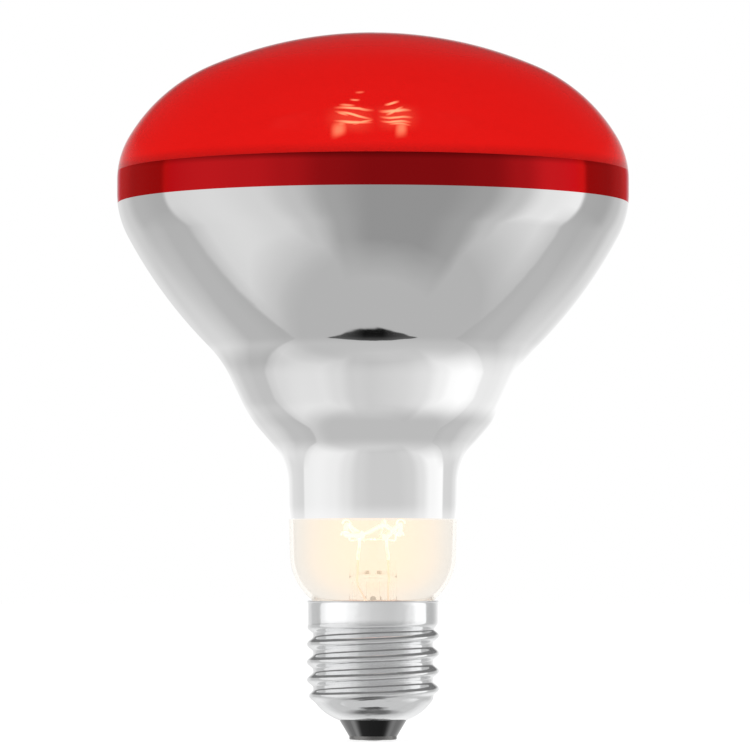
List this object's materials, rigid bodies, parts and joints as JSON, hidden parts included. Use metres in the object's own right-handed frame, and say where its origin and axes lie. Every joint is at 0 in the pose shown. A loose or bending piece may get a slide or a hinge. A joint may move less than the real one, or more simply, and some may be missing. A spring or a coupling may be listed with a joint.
{
  "type": "infrared heat lamp bulb",
  "caption": "Reflector heat lamp: blown glass bulb with red front, silvered sides and clear neck, on a screw cap with centre contact.",
  "frame": {"origin": "tip of the centre contact, on the bulb's axis, which is the bottom centre of its box", "axes": "+Z along the bulb's axis from the cap to the red front; +X to the right and -Y towards the viewer of the picture"},
  "size_m": [0.1049, 0.1048, 0.1449],
  "materials": {
    "bulb_glass": "blown glass: inside silvered from neck to shoulder, red lacquer over the front, clear neck",
    "cap_metal": "bright rolled sheet",
    "black_glass": "gloss black moulded glass",
    "contact_metal": "tinned",
    "solder": "soft solder, satin",
    "cement": "matt cement",
    "stem_glass": "clear glass",
    "tungsten": "coiled wire, glowing",
    "copper": "bare wire",
    "nickel": "bare wire",
    "seal_alloy": "copper-clad wire in glass",
    "molybdenum": "bare wire"
  },
  "bodies": {
    "root": {"cap_cement": "cement", "cap_insulator": "black_glass", "cap_shell": "cap_metal", "contact_lead": "copper", "contact_plate": "contact_metal", "contact_solder": "solder", "exhaust_tube": "stem_glass", "filament": "tungsten", "filament_clamp_a": "nickel", "filament_clamp_b": "nickel", "glass_bulb": "bulb_glass", "inner_lead_a": "nickel", "inner_lead_b": "nickel", "rim_lead": "copper", "rim_solder": "solder", "seal_wire_a": "seal_alloy", "seal_wire_b": "seal_alloy", "stem": "stem_glass", "support_rod": "stem_glass", "support_wire_1": "molybdenum", "support_wire_2": "molybdenum", "support_wire_3": "molybdenum", "support_wire_4": "molybdenum", "support_wire_5": "molybdenum", "support_wire_6": "molybdenum"}
  },
  "joints": []
}
